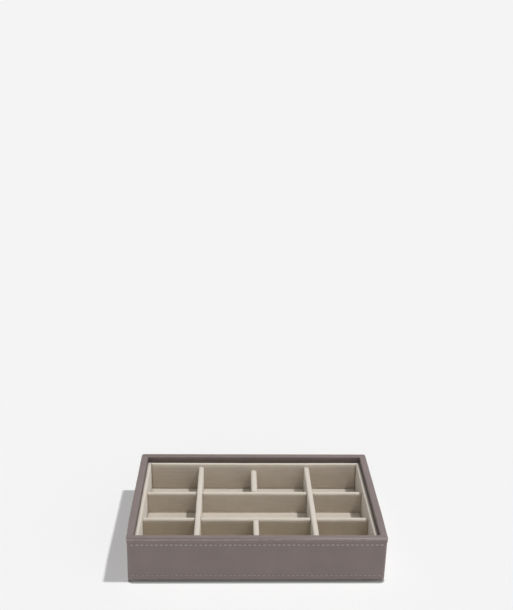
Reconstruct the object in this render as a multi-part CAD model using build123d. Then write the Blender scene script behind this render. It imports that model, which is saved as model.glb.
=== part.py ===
from build123d import *
import os

# A shallow stacking tray for small jewelry, covered in leatherette and lined with velvet.
#
# Four wall boards and a base board make the carcass, and strips of board round its top make the rim
# stand proud of the walls. One strip of stitched leatherette runs round it all, turns in over the rim and
# turns under the bottom edge. A foot below the base drops into the rim of a tray beneath. Inside,
# velvet-covered card lines the walls, a foam pad under velvet makes the floor, and six dividers part it
# into eleven compartments.
#
# Millimetres. X runs to the right, Y to the back, Z up. The origin is the middle of the underside.

# Outside of the walls
tray_width = 180.0
tray_depth = 125.0
body_height = 32.5

# Leatherette strip round the walls
leather = 0.65
turn_in_depth = 12.0
back_seam_gap = 0.15

# Boards of the carcass, and how their corners and edges are rounded under the leatherette
wall_board = 3.0
base_board_thickness = 2.5
base_board_fit = 0.1
board_corner_radius = 1.35
rim_inner_edge_round = 0.25
hem_edge_round = 0.85

# Strips that make the rim stand proud of the walls
rim_strip = 0.6
rim_strip_height = 2.5
rim_strip_top_round = 0.25
rim_strip_bottom_round = 0.25

# Foot that drops into the rim of the tray below
foot_height = 2.5
foot_nesting_fit = 0.7
foot_board_corner_radius = 2.35
foot_board_edge_round = 0.25
hem_to_foot_gap = 0.1
felt_thickness = 0.6
felt_inset = 3.0
felt_corner_radius = 2.0

# Velvet, and the card that it covers
velvet = 0.6
lining_card = 1.5
lining_card_edge_round = 0.5
room_above_nested_foot = 2.35

# Floor pad
foam_thickness = 1.75
floor_pad_fit = 0.2

# Dividers, with their tops measured down from the top of the lining
divider_board = 2.8
divider_board_edge_round = 0.7
long_divider_drop = 3.0
cross_divider_drop = 5.5
lap_fit = 0.05
row_count = 3
column_count = 4

# Sewing thread that shows on the outside
stitch_length = 2.3
stitch_gap = 1.1
thread_width = 0.5
thread_proud = 0.25
top_seam_drop = 5.0
bottom_seam_rise = 3.3
seam_end_margin = 0.6

# How far a cutting block runs past what it cuts, and the most of a wall that a rounded edge may take
overrun = 1.0
edge_round_limit_share = 0.45

# Levels, from the ground up
body_bottom = foot_height
rim_top = body_bottom + body_height
board_bottom = body_bottom + leather
board_top = rim_top - leather
strip_bottom = board_top - rim_strip_height
base_top = board_bottom + base_board_thickness
foam_top = base_top + foam_thickness
floor_top = foam_top + velvet
lining_top = rim_top - foot_height - room_above_nested_foot
long_divider_top = lining_top - long_divider_drop
cross_divider_top = lining_top - cross_divider_drop
lap_level = (floor_top + cross_divider_top) / 2

# Plan sizes, from the outside in
corner_radius = board_corner_radius + leather
board_outer_width = tray_width - 2 * leather
board_outer_depth = tray_depth - 2 * leather
board_inner_width = board_outer_width - 2 * wall_board
board_inner_depth = board_outer_depth - 2 * wall_board
strip_outer_width = board_outer_width + 2 * rim_strip
strip_outer_depth = board_outer_depth + 2 * rim_strip
strip_corner_radius = board_corner_radius + rim_strip
opening_width = board_inner_width - 2 * leather
opening_depth = board_inner_depth - 2 * leather
foot_width = opening_width - 2 * foot_nesting_fit
foot_depth = opening_depth - 2 * foot_nesting_fit
lining_thickness = lining_card + 2 * velvet
inside_width = opening_width - 2 * lining_thickness
inside_depth = opening_depth - 2 * lining_thickness
divider_thickness = divider_board + 2 * velvet
cell_width = (inside_width - (column_count - 1) * divider_thickness) / column_count
cell_depth = (inside_depth - (row_count - 1) * divider_thickness) / row_count
long_divider_x = inside_width / 2 - cell_width - divider_thickness / 2
cross_divider_y = inside_depth / 2 - cell_depth - divider_thickness / 2


def slab(width, depth, bottom, top, radius=0.0):
    """An upright block round the Z axis, with its upright corners rounded to radius."""
    outline = RectangleRounded(width, depth, radius) if radius else Rectangle(width, depth)
    return Pos(0, 0, bottom) * extrude(outline, top - bottom)


def within(edge_round, *walls):
    """The rounding of an edge, no larger than the walls beside it allow."""
    return min(edge_round, *(wall * edge_round_limit_share for wall in walls))


# The roundings of the boards, and those of the leatherette that lies over them
strip_top_edge = within(rim_strip_top_round, rim_strip, rim_strip_height)
strip_bottom_edge = within(rim_strip_bottom_round, rim_strip, rim_strip_height)
board_rim_inner = within(rim_inner_edge_round, wall_board)
board_hem = within(hem_edge_round, wall_board, 2 * board_corner_radius)
foot_board_edge = within(foot_board_edge_round, 2 * foot_board_corner_radius)


def rounded_outside(block, edge_round):
    """A block or ring with the outer edge of its top rounded."""
    return fillet(block.faces().sort_by(Axis.Z)[-1].outer_wire().edges(), edge_round)


def rounded_inside(ring, edge_round):
    """A ring with the inner edge of its top rounded."""
    return fillet(ring.faces().sort_by(Axis.Z)[-1].inner_wires()[0].edges(), edge_round)


def rounded_bottom(block, edge_round):
    """A block with the outer edge of its underside rounded."""
    return fillet(block.faces().sort_by(Axis.Z)[0].outer_wire().edges(), edge_round)


def make_carcass():
    """The four wall boards as one ring, before it is parted."""
    ring = slab(board_outer_width, board_outer_depth, board_bottom, board_top, board_corner_radius)
    ring -= slab(board_inner_width, board_inner_depth, board_bottom, board_top)
    return rounded_bottom(rounded_inside(ring, board_rim_inner), board_hem)


def make_rim_ring():
    """The four strips round the outside of the carcass as one ring, before it is parted."""
    ring = slab(strip_outer_width, strip_outer_depth, strip_bottom, board_top, strip_corner_radius)
    ring = rounded_bottom(rounded_outside(ring, strip_top_edge), strip_bottom_edge)
    return ring - slab(board_outer_width, board_outer_depth, strip_bottom, board_top, board_corner_radius)


def parted(ring, depth, kind):
    """A ring as four pieces: front and back run the full width, and the sides lie between them."""
    between = slab(strip_outer_width + 2 * overrun, depth, board_bottom, board_top)
    ends = (ring - between).solids().sort_by(Axis.Y)
    sides = (ring & between).solids().sort_by(Axis.X)
    return {
        f"front_{kind}": ends[0],
        f"back_{kind}": ends[-1],
        f"left_{kind}": sides[0],
        f"right_{kind}": sides[-1],
    }


def make_outer_wrap(carcass, rim_ring):
    """One strip over the outside, the rim and the top of the inside, with a hem under the boards."""
    band_width = strip_outer_width + 2 * leather
    band_depth = strip_outer_depth + 2 * leather
    band_radius = strip_corner_radius + leather
    band = slab(band_width, band_depth, strip_bottom - leather, rim_top, band_radius)
    hem_width = foot_width + 2 * hem_to_foot_gap
    hem_depth = foot_depth + 2 * hem_to_foot_gap
    hem_radius = foot_board_corner_radius + leather + hem_to_foot_gap
    skin = slab(tray_width, tray_depth, body_bottom, rim_top, corner_radius)
    skin += rounded_bottom(band, strip_bottom_edge + leather)
    skin = rounded_outside(skin, strip_top_edge + leather)
    skin -= slab(opening_width, opening_depth, board_bottom, rim_top)
    skin -= slab(hem_width, hem_depth, body_bottom, board_bottom, hem_radius)
    skin = rounded_inside(skin, board_rim_inner + leather)
    skin = rounded_bottom(skin, board_hem + leather) - carcass - rim_ring
    skin -= slab(board_inner_width, board_inner_depth, board_bottom, rim_top - turn_in_depth)
    seam = slab(back_seam_gap, band_depth / 2, body_bottom, rim_top)
    return skin - Pos(0, band_depth / 2, 0) * seam


def make_foot():
    """A board covered in leatherette, with a felt sheet below that the tray stands on."""
    bottom = felt_thickness
    board_width = foot_width - 2 * leather
    board_depth = foot_depth - 2 * leather
    board = slab(board_width, board_depth, bottom + leather, board_bottom, foot_board_corner_radius)
    board = rounded_bottom(board, foot_board_edge)
    cover = slab(foot_width, foot_depth, bottom, board_bottom, foot_board_corner_radius + leather)
    cover = rounded_bottom(cover, foot_board_edge + leather)
    felt = slab(foot_width - 2 * felt_inset, foot_depth - 2 * felt_inset, 0, bottom, felt_corner_radius)
    return {
        "foot_board": board,
        "foot_wrap": cover - board,
        "base_felt": felt,
    }


def make_floor():
    """The base board, the foam pad on it and the velvet on the foam."""
    pad_width = inside_width - 2 * floor_pad_fit
    pad_depth = inside_depth - 2 * floor_pad_fit
    fitted_width = board_inner_width - 2 * base_board_fit
    fitted_depth = board_inner_depth - 2 * base_board_fit
    return {
        "base_board": slab(fitted_width, fitted_depth, board_bottom, base_top),
        "floor_foam": slab(pad_width, pad_depth, base_top, foam_top),
        "floor_velvet": slab(pad_width, pad_depth, foam_top, floor_top),
    }


def round_topped(length, thickness, bottom, top, edge_round):
    """A board that stands on edge along X, with the two long edges of its top rounded."""
    board = slab(length, thickness, bottom, top)
    return fillet(board.edges().filter_by(Axis.X).sort_by(Axis.Z)[-2:], edge_round)


def covered_board(length, board, bottom, top, edge_round):
    """A board along X and the velvet folded over it, as two pieces."""
    edge_round = within(edge_round, board)
    core = round_topped(length, board, bottom, top - velvet, edge_round)
    cover = round_topped(length, board + 2 * velvet, bottom, top, edge_round + velvet)
    return core, cover - core


def mitre(length):
    """The space of a lining panel whose ends are cut at 45 degrees, with its outer face at minus Y."""
    outer = length / 2
    inner = outer - lining_thickness
    back = lining_thickness / 2
    ends = Polygon((-outer, -back), (outer, -back), (inner, back), (-inner, back), align=None)
    return Pos(0, 0, base_top) * extrude(ends, lining_top - base_top)


def make_lining():
    """Card panels covered in velvet, mitred where they meet, that stand on the base board."""
    pieces = {}
    sides = {
        "front": (0, opening_width, opening_depth),
        "right": (90, opening_depth, opening_width),
        "back": (180, opening_width, opening_depth),
        "left": (270, opening_depth, opening_width),
    }
    for side, (turn, length, span) in sides.items():
        place = Rot(0, 0, turn) * Pos(0, (lining_thickness - span) / 2, 0)
        card, cover = covered_board(length, lining_card, base_top, lining_top, lining_card_edge_round)
        pieces[f"{side}_lining_card"] = place * (card & mitre(length))
        pieces[f"{side}_lining_velvet"] = place * (cover & mitre(length))
    return pieces


def make_divider(length, top, laps=()):
    """A divider along X that stands on the floor: its board and its velvet, with slots cut through both."""
    pieces = covered_board(length, divider_board, floor_top, top, divider_board_edge_round)
    for lap in laps:
        pieces = [piece - lap for piece in pieces]
    return pieces


def lap_slots(place, bottom, top):
    """A slot on each side of a divider's middle, where two others cross it."""
    slot = slab(divider_thickness + 2 * lap_fit, divider_thickness + 2 * overrun, bottom, top)
    return [Pos(along, 0, 0) * slot for along in (-place, place)]


def make_dividers():
    """Long dividers lap down over the cross dividers. Short ones part the middle of two rows."""
    slots_from_below = lap_slots(cross_divider_y, floor_top - overrun, lap_level)
    slots_from_above = lap_slots(long_divider_x, lap_level, rim_top)
    long_pieces = make_divider(inside_depth, long_divider_top, slots_from_below)
    cross_pieces = make_divider(inside_width, cross_divider_top, slots_from_above)
    short_pieces = make_divider(cell_depth, cross_divider_top)
    short_divider_y = (inside_depth - cell_depth) / 2
    upright = Rot(0, 0, 90)
    placed = {
        "left_long_divider": (Pos(-long_divider_x, 0, 0) * upright, long_pieces),
        "right_long_divider": (Pos(long_divider_x, 0, 0) * upright, long_pieces),
        "rear_cross_divider": (Pos(0, cross_divider_y, 0), cross_pieces),
        "front_cross_divider": (Pos(0, -cross_divider_y, 0), cross_pieces),
        "rear_short_divider": (Pos(0, short_divider_y, 0) * upright, short_pieces),
        "front_short_divider": (Pos(0, -short_divider_y, 0) * upright, short_pieces),
    }
    pieces = {}
    for name, (place, (board, cover)) in placed.items():
        pieces[f"{name}_board"] = place * board
        pieces[f"{name}_velvet"] = place * cover
    return pieces


def make_seam(level):
    """A row of stitches round all four sides at one level, each a flattened length of thread."""
    stitch = extrude(Plane.XZ * SlotOverall(stitch_length, thread_width), thread_proud).solid()
    sides = (
        (0, tray_width, tray_depth),
        (90, tray_depth, tray_width),
        (180, tray_width, tray_depth),
        (270, tray_depth, tray_width),
    )
    stitches = []
    for turn, side, span in sides:
        run = side - 2 * (corner_radius + seam_end_margin) - stitch_length
        gaps = round(run / (stitch_length + stitch_gap))
        for number in range(gaps + 1):
            along = run * (number / gaps - 1 / 2)
            stitches.append(Rot(0, 0, turn) * Pos(along, -span / 2, level) * stitch)
    return Compound(stitches)


def main():
    """Builds every piece and writes one STEP file for each."""
    carcass = make_carcass()
    rim_ring = make_rim_ring()
    pieces = parted(carcass, board_inner_depth, "board")
    pieces.update(parted(rim_ring, board_outer_depth, "rim_strip"))
    pieces["outer_wrap"] = make_outer_wrap(carcass, rim_ring)
    pieces.update(make_foot())
    pieces.update(make_floor())
    pieces.update(make_lining())
    pieces.update(make_dividers())
    pieces["top_stitching"] = make_seam(rim_top - top_seam_drop)
    pieces["bottom_stitching"] = make_seam(body_bottom + bottom_seam_rise)
    os.makedirs("parts", exist_ok=True)
    for name, piece in pieces.items():
        export_step(piece, f"parts/{name}.step")


main()
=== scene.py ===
import math
import bpy
import numpy as np
from mathutils import Matrix, Vector, noise


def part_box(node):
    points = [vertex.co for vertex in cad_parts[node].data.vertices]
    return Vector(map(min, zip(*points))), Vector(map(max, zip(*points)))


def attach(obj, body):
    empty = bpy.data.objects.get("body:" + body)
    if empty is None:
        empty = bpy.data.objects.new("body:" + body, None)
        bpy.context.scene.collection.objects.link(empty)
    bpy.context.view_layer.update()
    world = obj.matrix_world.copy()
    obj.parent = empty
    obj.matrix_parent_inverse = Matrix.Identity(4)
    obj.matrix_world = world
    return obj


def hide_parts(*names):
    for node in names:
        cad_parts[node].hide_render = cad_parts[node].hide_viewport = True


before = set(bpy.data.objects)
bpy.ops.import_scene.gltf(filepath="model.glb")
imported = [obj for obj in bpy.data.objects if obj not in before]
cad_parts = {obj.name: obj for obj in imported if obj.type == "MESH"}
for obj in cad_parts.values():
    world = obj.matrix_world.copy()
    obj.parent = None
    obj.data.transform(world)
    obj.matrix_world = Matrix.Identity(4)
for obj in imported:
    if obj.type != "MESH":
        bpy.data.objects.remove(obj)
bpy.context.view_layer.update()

# Blender starts its noise from the clock unless it is told where to start
noise.seed_set(11)

MM = 0.001
WHITE = (1.0, 1.0, 1.0, 1.0)

# Sizes read from the frame
wrap_low, wrap_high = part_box("outer_wrap")
board_low, board_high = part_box("front_board")
foot_low, foot_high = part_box("foot_wrap")
felt_low, felt_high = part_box("base_felt")
foam_low, foam_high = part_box("floor_foam")
floor_low, floor_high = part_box("floor_velvet")
lining_low, lining_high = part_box("front_lining_velvet")
long_low, long_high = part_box("right_long_divider_velvet")
cross_low, cross_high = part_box("rear_cross_divider_velvet")
short_low, short_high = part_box("rear_short_divider_velvet")
strip_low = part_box("front_rim_strip")[0]
leather = wrap_high.z - board_high.z
wall_board = board_high.y - board_low.y
rim_strip = board_low.y - strip_low.y
wall_top_width = wall_board + 2 * leather
half_width = board_high.x + leather
half_depth = leather - board_low.y
band_bottom = strip_low.z - leather
rim_top = wrap_high.z
body_bottom = wrap_low.z
velvet = floor_high.z - floor_low.z
floor_top = floor_high.z
lining_thickness = lining_high.y - lining_low.y
divider_thickness = long_high.x - long_low.x
long_divider_x = (long_high.x + long_low.x) / 2
cross_divider_y = (cross_high.y + cross_low.y) / 2
lap_level = (floor_top + cross_high.z) / 2

# Roundings and sewing of the solids
corner_radius = 2.0 * MM
rim_outer_round = 0.9 * MM
rim_inner_round = 0.9 * MM
strip_edge_round = 0.25 * MM
board_hem_round = 1.5 * MM
hem_inset = 4.9 * MM
turn_in_depth = 12.0 * MM
back_seam_gap = 0.15 * MM
foot_corner_radius = 3.0 * MM
foot_edge_round = 0.9 * MM
felt_corner_radius = 2.0 * MM
lining_top_round = 1.1 * MM
divider_top_round = 1.3 * MM
lap_fit = 0.05 * MM
stitch_length = 2.3 * MM
stitch_gap = 1.1 * MM
seam_end_margin = 0.6 * MM

# The cover and its sewing where the photo shows them otherwise
rim_corner_radius = 1.3 * MM
inner_corner_radius = 0.6 * MM
bead_round = 0.62 * MM
hem_round = 0.7 * MM
hem_drop = 0.75 * MM
stitch_shown = 2.0 * MM
thread_width = 0.62 * MM
seam_levels = (rim_top - 5.1 * MM, body_bottom + 2.9 * MM)


# Node helpers


def add(tree, kind, inputs=None, **settings):
    """A node with its settings, and its inputs either linked to a socket or given a value."""
    node = tree.nodes.new(kind)
    for name, value in settings.items():
        setattr(node, name, value)
    for name, value in (inputs or {}).items():
        if isinstance(value, bpy.types.NodeSocket):
            tree.links.new(value, node.inputs[name])
        else:
            node.inputs[name].default_value = value
    return node


def math_node(tree, operation, *values):
    """The result of one sum on numbers or sockets."""
    return add(tree, "ShaderNodeMath", dict(enumerate(values)), operation=operation).outputs[0]


def times(tree, first, second):
    """The product of two numbers or sockets."""
    return math_node(tree, "MULTIPLY", first, second)


def vector_node(tree, operation, *values, **named):
    """The result of one sum on vectors or sockets: a vector, or a number for a length."""
    node = add(tree, "ShaderNodeVectorMath", {**dict(enumerate(values)), **named}, operation=operation)
    return node.outputs["Value" if operation == "LENGTH" else "Vector"]


def noise_node(tree, place, scale, **values):
    """Noise at a place: its level, and its colour for a shift that differs along each axis."""
    return add(tree, "ShaderNodeTexNoise", {"Vector": place, "Scale": scale, **values}).outputs


def ramp(tree, value, low, high, start=0.0, end=1.0, smooth=False):
    """A number that runs from start to end while a value runs from low to high."""
    inputs = {"Value": value, 1: low, 2: high, 3: start, 4: end}
    kind = "SMOOTHSTEP" if smooth else "LINEAR"
    return add(tree, "ShaderNodeMapRange", inputs, interpolation_type=kind).outputs[0]


def blend_colours(tree, factor, first, second):
    """A colour between two, by a factor."""
    return add(tree, "ShaderNodeMix", {0: factor, 6: first, 7: second}, data_type="RGBA").outputs[2]


def carried(tree, name):
    """A number that the points of a piece carry."""
    return add(tree, "ShaderNodeAttribute", attribute_name=name).outputs["Fac"]


def seen_directly(tree):
    """One for what the camera sees, also by a reflection or through glass, and nought for other light."""
    path = add(tree, "ShaderNodeLightPath").outputs
    seen = math_node(tree, "MAXIMUM", path["Is Camera Ray"], path["Is Glossy Ray"])
    return math_node(tree, "MAXIMUM", seen, path["Is Transmission Ray"])


def effect(name, inputs, outputs):
    """An empty node group for an effect that several finishes share."""
    tree = bpy.data.node_groups.new(name, "ShaderNodeTree")
    for label, kind in inputs.items():
        tree.interface.new_socket(name=label, in_out="INPUT", socket_type=kind)
    for label, kind in outputs.items():
        tree.interface.new_socket(name=label, in_out="OUTPUT", socket_type=kind)
    entry = tree.nodes.new("NodeGroupInput")
    exit_node = tree.nodes.new("NodeGroupOutput")
    return tree, entry.outputs, exit_node.inputs


def place_effect(tree, group, place, **values):
    """A shared effect placed in a finish."""
    return add(tree, "ShaderNodeGroup", {"Vector": place, **values}, node_tree=group).outputs


FLOAT = "NodeSocketFloat"
VECTOR = "NodeSocketVector"


def make_mottle():
    """Soft patches, a little lighter and darker than the rest: 0 to 1, about a half on average."""
    tree, given, result = effect("mottle", {"Vector": VECTOR, "Patch": FLOAT}, {"Value": FLOAT})
    scale = math_node(tree, "DIVIDE", 1.0, given["Patch"])
    patches = noise_node(tree, given["Vector"], scale, Detail=4.0, Roughness=0.55)[0]
    tree.links.new(ramp(tree, patches, 0.3, 0.7), result["Value"])
    return tree


def make_pebble():
    """Rounded pebbles with creases between them, as pressed into leatherette."""
    tree, given, result = effect(
        "pebble", {"Vector": VECTOR, "Pebble": FLOAT}, {"Height": FLOAT, "Crease": FLOAT}
    )
    place = given["Vector"]
    scale = math_node(tree, "DIVIDE", 1.0, given["Pebble"])
    shift = vector_node(tree, "SUBTRACT", noise_node(tree, place, scale, Detail=2.0)[1], (0.5, 0.5, 0.5))
    bent = vector_node(tree, "ADD", place, vector_node(tree, "SCALE", shift, Scale=given["Pebble"]))
    cells = add(tree, "ShaderNodeTexVoronoi", {"Vector": bent, "Scale": scale}, feature="DISTANCE_TO_EDGE")
    rise = ramp(tree, cells.outputs[0], 0.0, 0.22, smooth=True)
    fine = noise_node(tree, place, times(tree, scale, 3.0), Detail=3.0)[0]
    tree.links.new(math_node(tree, "MULTIPLY_ADD", fine, 0.35, rise), result["Height"])
    tree.links.new(math_node(tree, "SUBTRACT", 1.0, rise), result["Crease"])
    return tree


def make_pile():
    """Short upright fibres in small tufts, with the light and dark specks that they make."""
    tree, given, result = effect(
        "pile", {"Vector": VECTOR, "Tuft": FLOAT}, {"Height": FLOAT, "Speck": FLOAT}
    )
    place = given["Vector"]
    scale = math_node(tree, "DIVIDE", 1.0, given["Tuft"])
    tufts = noise_node(tree, place, scale, Detail=3.0, Roughness=0.7)[0]
    hair_scale = times(tree, scale, 2.6)
    hairs = add(tree, "ShaderNodeTexVoronoi", {"Vector": place, "Scale": hair_scale}).outputs[0]
    height = math_node(tree, "SUBTRACT", tufts, times(tree, hairs, 0.5))
    tree.links.new(height, result["Height"])
    tree.links.new(ramp(tree, tufts, 0.35, 0.65), result["Speck"])
    return tree


def make_fibre():
    """Long thin strands that lie one way, drawn by stretching noise along that way."""
    tree, given, result = effect(
        "fibre",
        {"Vector": VECTOR, "Strand": FLOAT, "Stretch": VECTOR},
        {"Height": FLOAT, "Strands": FLOAT},
    )
    drawn = vector_node(tree, "MULTIPLY", given["Vector"], given["Stretch"])
    scale = math_node(tree, "DIVIDE", 1.0, given["Strand"])
    strands = noise_node(tree, drawn, scale, Detail=5.0, Roughness=0.65, Distortion=0.6)[0]
    tree.links.new(strands, result["Height"])
    tree.links.new(ramp(tree, strands, 0.35, 0.65), result["Strands"])
    return tree


def make_rub():
    """Where handling has rubbed an edge, and where the edge mask carries a painted highlight: the piece's
    own edge mask, broken up by noise.
    """
    tree, given, result = effect("rub", {"Vector": VECTOR, "Edge": FLOAT}, {"Mask": FLOAT})
    grime = noise_node(tree, given["Vector"], 260.0, Detail=5.0, Roughness=0.6)[0]
    mask = times(tree, given["Edge"], ramp(tree, grime, 0.42, 0.66))
    tree.links.new(mask, result["Mask"])
    return tree


mottle = make_mottle()
pebble = make_pebble()
pile = make_pile()
fibre = make_fibre()
rub = make_rub()


# Finishes


def new_finish(name, **values):
    """A material with one Principled shader, its plain values set and its object coordinates at hand."""
    finish = bpy.data.materials.new(name)
    finish.use_nodes = True
    tree = finish.node_tree
    shader = tree.nodes["Principled BSDF"]
    for label, value in values.items():
        shader.inputs[label.replace("_", " ")].default_value = value
    place = tree.nodes.new("ShaderNodeTexCoord").outputs["Object"]
    return finish, tree, shader, place


def set_surface(tree, shader, colour, height, depth, strength):
    """A colour, and relief of a given depth, on a shader."""
    tree.links.new(colour, shader.inputs["Base Color"])
    bump = add(tree, "ShaderNodeBump", {"Height": height, "Distance": depth, "Strength": strength})
    tree.links.new(bump.outputs[0], shader.inputs["Normal"])


def leatherette_finish():
    """Taupe leatherette: a fine pebble, a low shine that dulls in the creases, rubbed edges, painted shade
    inside and along the back of the rim and in the front step's crease, and a painted highlight along the
    front rim's outer edge.
    """
    finish, tree, shader, place = new_finish(
        "taupe_leatherette", IOR=1.47, Specular_IOR_Level=0.28, Coat_Weight=0.03, Coat_Roughness=0.35
    )
    light, dark = (0.232, 0.187, 0.177, 1.0), (0.206, 0.165, 0.157, 1.0)
    rubbed_and_highlight, shaded = (0.34, 0.29, 0.27, 1.0), (0.03, 0.022, 0.018, 1.0)
    patches = place_effect(tree, mottle, place, Patch=16 * MM)
    grain = place_effect(tree, pebble, place, Pebble=0.62 * MM)
    worn = place_effect(tree, rub, place, Edge=carried(tree, "edge"))
    colour = blend_colours(tree, patches["Value"], dark, light)
    colour = blend_colours(tree, times(tree, grain["Crease"], 0.22), colour, dark)
    # Rubbed wear on edges, and through the same edge mask a painted highlight along the front rim's outer
    # edge
    colour = blend_colours(tree, times(tree, worn["Mask"], 0.6), colour, rubbed_and_highlight)
    # Painted highlight along the right part of the front rim's outer edge
    colour = blend_colours(tree, carried(tree, "painted_highlight"), colour, rubbed_and_highlight)
    # Painted shade inside the rim, on the back of the rim and in the front step's crease
    inside = times(tree, carried(tree, "painted_shade"), 0.55)
    colour = blend_colours(tree, inside, colour, shaded)
    rough = math_node(tree, "MULTIPLY_ADD", grain["Crease"], 0.14, 0.46)
    rough = math_node(tree, "MULTIPLY_ADD", patches["Value"], 0.06, rough)
    tree.links.new(rough, shader.inputs["Roughness"])
    set_surface(tree, shader, colour, grain["Height"], 0.05 * MM, 0.55)
    return finish


def velvet_finish():
    """Short-pile velvet: specks of pile, brushed streaks, painted sheen where the cloth is seen aslant,
    painted highlight along folded top edges, and painted shade where marked as pressed.
    """
    finish, tree, shader, place = new_finish(
        "greige_velvet",
        Roughness=0.95,
        Specular_IOR_Level=0.1,
        Sheen_Weight=0.75,
        Sheen_Roughness=0.38,
        Sheen_Tint=(1.0, 0.965, 0.915, 1.0),
    )
    light, dark = (0.610, 0.545, 0.465, 1.0), (0.480, 0.420, 0.350, 1.0)
    flattened, lit_tips = (0.39, 0.31, 0.15, 1.0), (0.88, 0.82, 0.74, 1.0)
    stroked = place_effect(tree, mottle, place, Patch=9 * MM)
    tufts = place_effect(tree, pile, place, Tuft=0.45 * MM)
    brushed = place_effect(tree, fibre, place, Strand=1.1 * MM, Stretch=(0.07, 0.07, 1.0))
    shade = times(tree, stroked["Value"], 0.3)
    shade = math_node(tree, "MULTIPLY_ADD", tufts["Speck"], 0.3, shade)
    shade = math_node(tree, "MULTIPLY_ADD", brushed["Strands"], 0.4, shade)
    colour = blend_colours(tree, shade, dark, light)
    # Painted shade: the mark named pressed darkens the cloth towards a brown
    colour = blend_colours(tree, carried(tree, "pressed"), colour, flattened)
    # Painted sheen: the colour is lightened where the cloth is seen aslant, and painted highlight where the
    # edge mark lies along folded top edges
    slant = add(tree, "ShaderNodeLayerWeight", {"Blend": 0.5}).outputs["Facing"]
    tips = ramp(tree, slant, 0.15, 0.48, 0.0, 0.33, smooth=True)
    tips = math_node(tree, "MULTIPLY_ADD", carried(tree, "edge"), 0.33, tips)
    colour = blend_colours(tree, tips, colour, lit_tips)
    set_surface(tree, shader, colour, tufts["Height"], 0.12 * MM, 0.6)
    return finish


def felt_finish():
    """Pressed dark felt, with strands that lie every way."""
    finish, tree, shader, place = new_finish("base_felt_finish", Roughness=1.0, Specular_IOR_Level=0.1)
    strands = place_effect(tree, fibre, place, Strand=0.9 * MM, Stretch=(1.0, 0.35, 1.0))
    crossing = place_effect(tree, fibre, place, Strand=0.7 * MM, Stretch=(0.3, 1.0, 1.0))
    both = math_node(tree, "MAXIMUM", strands["Strands"], crossing["Strands"])
    colour = blend_colours(tree, both, (0.045, 0.037, 0.034, 1.0), (0.12, 0.1, 0.092, 1.0))
    height = math_node(tree, "ADD", strands["Height"], crossing["Height"])
    set_surface(tree, shader, colour, height, 0.25 * MM, 0.8)
    return finish


def fibreboard_finish():
    """Raw fibreboard: brown, with fine pressed fibres and darker specks."""
    finish, tree, shader, place = new_finish("raw_fibreboard", Roughness=0.85, Specular_IOR_Level=0.3)
    strands = place_effect(tree, fibre, place, Strand=0.6 * MM, Stretch=(0.4, 0.4, 1.6))
    patches = place_effect(tree, mottle, place, Patch=3 * MM)
    colour = blend_colours(tree, patches["Value"], (0.33, 0.22, 0.13, 1.0), (0.46, 0.33, 0.21, 1.0))
    specks = times(tree, strands["Strands"], 0.35)
    colour = blend_colours(tree, specks, colour, (0.24, 0.15, 0.085, 1.0))
    set_surface(tree, shader, colour, strands["Height"], 0.08 * MM, 0.6)
    return finish


def greyboard_finish(name, tone):
    """Uncoated grey card, with flecks of pulp."""
    finish, tree, shader, place = new_finish(name, Roughness=0.9, Specular_IOR_Level=0.25)
    pulp = place_effect(tree, fibre, place, Strand=0.5 * MM, Stretch=(0.5, 0.5, 1.0))
    patches = place_effect(tree, mottle, place, Patch=5 * MM)
    dark, light = ([share * level for level in tone] + [1.0] for share in (0.85, 1.15))
    mixed = times(tree, patches["Value"], 0.5)
    mixed = math_node(tree, "MULTIPLY_ADD", pulp["Strands"], 0.5, mixed)
    colour = blend_colours(tree, mixed, dark, light)
    set_surface(tree, shader, colour, pulp["Height"], 0.05 * MM, 0.5)
    return finish


def foam_finish():
    """Open-cell foam, cream, with small pores."""
    finish, tree, shader, place = new_finish("pad_foam", Roughness=0.95, Specular_IOR_Level=0.2)
    pores = place_effect(tree, pebble, place, Pebble=0.7 * MM)
    colour = blend_colours(tree, pores["Crease"], (0.45, 0.42, 0.36, 1.0), (0.66, 0.62, 0.54, 1.0))
    set_surface(tree, shader, colour, pores["Crease"], 0.2 * MM, 0.8)
    return finish


def thread_finish():
    """Waxed sewing thread, a shade lighter than the leatherette, with fine plies."""
    finish, tree, shader, place = new_finish(
        "taupe_thread", Roughness=0.6, Sheen_Weight=0.15, Sheen_Roughness=0.4
    )
    plies = place_effect(tree, fibre, place, Strand=0.12 * MM, Stretch=(1.0, 1.0, 1.4))
    colour = blend_colours(tree, plies["Strands"], (0.56, 0.51, 0.48, 1.0), (0.76, 0.71, 0.67, 1.0))
    # The lower row's thread is darker, towards the leatherette's tone
    colour = blend_colours(tree, carried(tree, "darker_thread"), colour, (0.25, 0.205, 0.19, 1.0))
    set_surface(tree, shader, colour, plies["Height"], 0.05 * MM, 0.7)
    return finish


leatherette = leatherette_finish()
velvet_cloth = velvet_finish()
felt_cloth = felt_finish()
fibreboard = fibreboard_finish()
greyboard = greyboard_finish("lining_greyboard", (0.33, 0.32, 0.3))
divider_greyboard = greyboard_finish("divider_greyboard", (0.38, 0.35, 0.3))
pad_foam = foam_finish()
thread = thread_finish()


# Mesh helpers


def put_in_scene(name, data):
    """An object from a mesh, a light or a camera."""
    made = bpy.data.objects.new(name, data)
    bpy.context.scene.collection.objects.link(made)
    return made


def new_piece(name, points, faces, finish):
    """An object at the origin from points and faces, smooth, in one finish."""
    mesh = bpy.data.meshes.new(name)
    mesh.from_pydata([tuple(point) for point in points], [], [tuple(face) for face in faces])
    mesh.validate()
    mesh.shade_smooth()
    mesh.materials.append(finish)
    return put_in_scene(name, mesh)


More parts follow.
